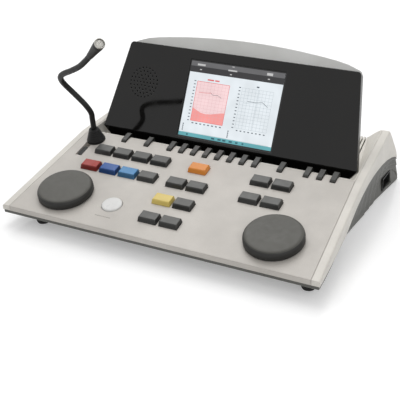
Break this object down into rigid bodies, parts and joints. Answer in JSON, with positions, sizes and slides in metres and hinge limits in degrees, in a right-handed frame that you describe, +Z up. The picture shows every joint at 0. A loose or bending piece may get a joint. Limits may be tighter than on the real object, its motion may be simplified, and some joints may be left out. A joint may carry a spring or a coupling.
{
  "type": "audiometer",
  "caption": "Tabletop audiometer with a sloped key panel, large dials, a gooseneck microphone and a display that folds into its rear deck.",
  "frame": {"origin": "on the table, under the middle of the console", "axes": "+X to the right, +Y to the back, +Z up; the sloped panel faces -Y"},
  "size_m": [0.359, 0.29, 0.1997],
  "materials": {
    "light_panel": "fine matt grain, printed label lines",
    "light_cover": "fine matt grain",
    "base_grey": "fine matt grain",
    "black_plastic": "satin",
    "socket_metal": "nickel",
    "circuit_board": "solder mask",
    "mat_rubber": "matt",
    "hinge_metal": "plain",
    "foot_rubber": "matt",
    "screw_steel": "zinc",
    "silver_shell": "satin silver",
    "gloss_black": "high gloss",
    "screen": "lit picture",
    "speaker": "matt",
    "neck_black": "satin",
    "dial_grey": "matt",
    "white_key": "satin",
    "dark_key": "satin",
    "red_key": "satin",
    "blue_key": "satin",
    "light_blue_key": "satin",
    "orange_key": "satin",
    "yellow_key": "satin"
  },
  "bodies": {
    "console": {"front_panel": "light_panel", "side_rails": "light_cover", "rear_deck": "light_cover", "base_tray": "base_grey", "side_pockets": "black_plastic", "connector_plate": "black_plastic", "jack_sockets": "socket_metal", "data_ports": "socket_metal", "main_board": "circuit_board", "key_board": "circuit_board", "key_mat": "mat_rubber", "hinge_brackets": "hinge_metal", "feet": "foot_rubber", "case_screws": "screw_steel", "mic_socket": "black_plastic"},
    "display": {"display_shell": "silver_shell", "display_fascia": "gloss_black", "lcd_module": "screen", "speaker_driver": "speaker", "hinge_arms": "hinge_metal"},
    "mic_stem": {"mic_plug": "neck_black", "neck_lower": "neck_black"},
    "mic_arm": {"neck_upper": "neck_black", "mic_head": "neck_black"},
    "left_dial": {"left_dial": "dial_grey"},
    "right_dial": {"right_dial": "dial_grey"},
    "talk_button": {"talk_button": "white_key"},
    "key_back_1": {"key_back_1": "dark_key"},
    "key_back_2": {"key_back_2": "dark_key"},
    "key_back_3": {"key_back_3": "dark_key"},
    "key_back_4": {"key_back_4": "dark_key"},
    "key_back_5": {"key_back_5": "orange_key"},
    "key_back_6": {"key_back_6": "dark_key"},
    "key_back_7": {"key_back_7": "dark_key"},
    "key_third_1": {"key_third_1": "red_key"},
    "key_third_2": {"key_third_2": "blue_key"},
    "key_third_3": {"key_third_3": "light_blue_key"},
    "key_third_4": {"key_third_4": "dark_key"},
    "key_third_5": {"key_third_5": "dark_key"},
    "key_third_6": {"key_third_6": "dark_key"},
    "key_third_7": {"key_third_7": "dark_key"},
    "key_third_8": {"key_third_8": "dark_key"},
    "key_second_1": {"key_second_1": "yellow_key"},
    "key_second_2": {"key_second_2": "dark_key"},
    "key_front_1": {"key_front_1": "dark_key"},
    "key_front_2": {"key_front_2": "dark_key"},
    "soft_key_1": {"soft_key_1": "dark_key"},
    "soft_key_2": {"soft_key_2": "dark_key"},
    "soft_key_3": {"soft_key_3": "dark_key"},
    "soft_key_4": {"soft_key_4": "dark_key"},
    "soft_key_5": {"soft_key_5": "dark_key"},
    "soft_key_6": {"soft_key_6": "dark_key"},
    "soft_key_7": {"soft_key_7": "dark_key"},
    "soft_key_8": {"soft_key_8": "dark_key"},
    "soft_key_9": {"soft_key_9": "dark_key"},
    "soft_key_10": {"soft_key_10": "dark_key"},
    "soft_key_11": {"soft_key_11": "dark_key"},
    "soft_key_12": {"soft_key_12": "dark_key"},
    "soft_key_13": {"soft_key_13": "dark_key"},
    "soft_key_14": {"soft_key_14": "dark_key"}
  },
  "joints": [
    {"name": "display_fold", "type": "hinge", "parent": "console", "child": "display", "pos_m": [0, 0.03297, 0.04418], "axis": [1, 0, 0], "range_deg": [-54, 12]},
    {"name": "mic_turn", "type": "hinge", "parent": "console", "child": "mic_stem", "pos_m": [-0.144, -0.01238, 0.05353], "axis": [0, -0.2215, 0.9751], "range_deg": [-90, 60]},
    {"name": "neck_bend", "type": "hinge", "parent": "mic_stem", "child": "mic_arm", "pos_m": [-0.156, -0.03508, 0.11854], "axis": [0.6897, -0.7241, 0], "range_deg": [-25, 25]},
    {"name": "left_dial_turn", "type": "hinge", "parent": "console", "child": "left_dial", "pos_m": [-0.1221, -0.10716, 0.032], "axis": [0, -0.2215, 0.9751], "continuous": true},
    {"name": "right_dial_turn", "type": "hinge", "parent": "console", "child": "right_dial", "pos_m": [0.1189, -0.10716, 0.032], "axis": [0, -0.2215, 0.9751], "continuous": true},
    {"name": "talk_button_press", "type": "slide", "parent": "console", "child": "talk_button", "axis": [0, -0.2215, 0.9751], "range_m": [-0.0015, 0], "stiffness_N_per_m": 300, "springref_m": 0.0003},
    {"name": "key_back_1_press", "type": "slide", "parent": "console", "child": "key_back_1", "axis": [0, -0.2215, 0.9751], "range_m": [-0.0015, 0], "stiffness_N_per_m": 300, "springref_m": 0.0003},
    {"name": "key_back_2_press", "type": "slide", "parent": "console", "child": "key_back_2", "axis": [0, -0.2215, 0.9751], "range_m": [-0.0015, 0], "stiffness_N_per_m": 300, "springref_m": 0.0003},
    {"name": "key_back_3_press", "type": "slide", "parent": "console", "child": "key_back_3", "axis": [0, -0.2215, 0.9751], "range_m": [-0.0015, 0], "stiffness_N_per_m": 300, "springref_m": 0.0003},
    {"name": "key_back_4_press", "type": "slide", "parent": "console", "child": "key_back_4", "axis": [0, -0.2215, 0.9751], "range_m": [-0.0015, 0], "stiffness_N_per_m": 300, "springref_m": 0.0003},
    {"name": "key_back_5_press", "type": "slide", "parent": "console", "child": "key_back_5", "axis": [0, -0.2215, 0.9751], "range_m": [-0.0015, 0], "stiffness_N_per_m": 300, "springref_m": 0.0003},
    {"name": "key_back_6_press", "type": "slide", "parent": "console", "child": "key_back_6", "axis": [0, -0.2215, 0.9751], "range_m": [-0.0015, 0], "stiffness_N_per_m": 300, "springref_m": 0.0003},
    {"name": "key_back_7_press", "type": "slide", "parent": "console", "child": "key_back_7", "axis": [0, -0.2215, 0.9751], "range_m": [-0.0015, 0], "stiffness_N_per_m": 300, "springref_m": 0.0003},
    {"name": "key_third_1_press", "type": "slide", "parent": "console", "child": "key_third_1", "axis": [0, -0.2215, 0.9751], "range_m": [-0.0015, 0], "stiffness_N_per_m": 300, "springref_m": 0.0003},
    {"name": "key_third_2_press", "type": "slide", "parent": "console", "child": "key_third_2", "axis": [0, -0.2215, 0.9751], "range_m": [-0.0015, 0], "stiffness_N_per_m": 300, "springref_m": 0.0003},
    {"name": "key_third_3_press", "type": "slide", "parent": "console", "child": "key_third_3", "axis": [0, -0.2215, 0.9751], "range_m": [-0.0015, 0], "stiffness_N_per_m": 300, "springref_m": 0.0003},
    {"name": "key_third_4_press", "type": "slide", "parent": "console", "child": "key_third_4", "axis": [0, -0.2215, 0.9751], "range_m": [-0.0015, 0], "stiffness_N_per_m": 300, "springref_m": 0.0003},
    {"name": "key_third_5_press", "type": "slide", "parent": "console", "child": "key_third_5", "axis": [0, -0.2215, 0.9751], "range_m": [-0.0015, 0], "stiffness_N_per_m": 300, "springref_m": 0.0003},
    {"name": "key_third_6_press", "type": "slide", "parent": "console", "child": "key_third_6", "axis": [0, -0.2215, 0.9751], "range_m": [-0.0015, 0], "stiffness_N_per_m": 300, "springref_m": 0.0003},
    {"name": "key_third_7_press", "type": "slide", "parent": "console", "child": "key_third_7", "axis": [0, -0.2215, 0.9751], "range_m": [-0.0015, 0], "stiffness_N_per_m": 300, "springref_m": 0.0003},
    {"name": "key_third_8_press", "type": "slide", "parent": "console", "child": "key_third_8", "axis": [0, -0.2215, 0.9751], "range_m": [-0.0015, 0], "stiffness_N_per_m": 300, "springref_m": 0.0003},
    {"name": "key_second_1_press", "type": "slide", "parent": "console", "child": "key_second_1", "axis": [0, -0.2215, 0.9751], "range_m": [-0.0015, 0], "stiffness_N_per_m": 300, "springref_m": 0.0003},
    {"name": "key_second_2_press", "type": "slide", "parent": "console", "child": "key_second_2", "axis": [0, -0.2215, 0.9751], "range_m": [-0.0015, 0], "stiffness_N_per_m": 300, "springref_m": 0.0003},
    {"name": "key_front_1_press", "type": "slide", "parent": "console", "child": "key_front_1", "axis": [0, -0.2215, 0.9751], "range_m": [-0.0015, 0], "stiffness_N_per_m": 300, "springref_m": 0.0003},
    {"name": "key_front_2_press", "type": "slide", "parent": "console", "child": "key_front_2", "axis": [0, -0.2215, 0.9751], "range_m": [-0.0015, 0], "stiffness_N_per_m": 300, "springref_m": 0.0003},
    {"name": "soft_key_1_press", "type": "slide", "parent": "console", "child": "soft_key_1", "axis": [0, -0.2215, 0.9751], "range_m": [-0.0015, 0], "stiffness_N_per_m": 300, "springref_m": 0.0003},
    {"name": "soft_key_2_press", "type": "slide", "parent": "console", "child": "soft_key_2", "axis": [0, -0.2215, 0.9751], "range_m": [-0.0015, 0], "stiffness_N_per_m": 300, "springref_m": 0.0003},
    {"name": "soft_key_3_press", "type": "slide", "parent": "console", "child": "soft_key_3", "axis": [0, -0.2215, 0.9751], "range_m": [-0.0015, 0], "stiffness_N_per_m": 300, "springref_m": 0.0003},
    {"name": "soft_key_4_press", "type": "slide", "parent": "console", "child": "soft_key_4", "axis": [0, -0.2215, 0.9751], "range_m": [-0.0015, 0], "stiffness_N_per_m": 300, "springref_m": 0.0003},
    {"name": "soft_key_5_press", "type": "slide", "parent": "console", "child": "soft_key_5", "axis": [0, -0.2215, 0.9751], "range_m": [-0.0015, 0], "stiffness_N_per_m": 300, "springref_m": 0.0003},
    {"name": "soft_key_6_press", "type": "slide", "parent": "console", "child": "soft_key_6", "axis": [0, -0.2215, 0.9751], "range_m": [-0.0015, 0], "stiffness_N_per_m": 300, "springref_m": 0.0003},
    {"name": "soft_key_7_press", "type": "slide", "parent": "console", "child": "soft_key_7", "axis": [0, -0.2215, 0.9751], "range_m": [-0.0015, 0], "stiffness_N_per_m": 300, "springref_m": 0.0003},
    {"name": "soft_key_8_press", "type": "slide", "parent": "console", "child": "soft_key_8", "axis": [0, -0.2215, 0.9751], "range_m": [-0.0015, 0], "stiffness_N_per_m": 300, "springref_m": 0.0003},
    {"name": "soft_key_9_press", "type": "slide", "parent": "console", "child": "soft_key_9", "axis": [0, -0.2215, 0.9751], "range_m": [-0.0015, 0], "stiffness_N_per_m": 300, "springref_m": 0.0003},
    {"name": "soft_key_10_press", "type": "slide", "parent": "console", "child": "soft_key_10", "axis": [0, -0.2215, 0.9751], "range_m": [-0.0015, 0], "stiffness_N_per_m": 300, "springref_m": 0.0003},
    {"name": "soft_key_11_press", "type": "slide", "parent": "console", "child": "soft_key_11", "axis": [0, -0.2215, 0.9751], "range_m": [-0.0015, 0], "stiffness_N_per_m": 300, "springref_m": 0.0003},
    {"name": "soft_key_12_press", "type": "slide", "parent": "console", "child": "soft_key_12", "axis": [0, -0.2215, 0.9751], "range_m": [-0.0015, 0], "stiffness_N_per_m": 300, "springref_m": 0.0003},
    {"name": "soft_key_13_press", "type": "slide", "parent": "console", "child": "soft_key_13", "axis": [0, -0.2215, 0.9751], "range_m": [-0.0015, 0], "stiffness_N_per_m": 300, "springref_m": 0.0003},
    {"name": "soft_key_14_press", "type": "slide", "parent": "console", "child": "soft_key_14", "axis": [0, -0.2215, 0.9751], "range_m": [-0.0015, 0], "stiffness_N_per_m": 300, "springref_m": 0.0003}
  ]
}
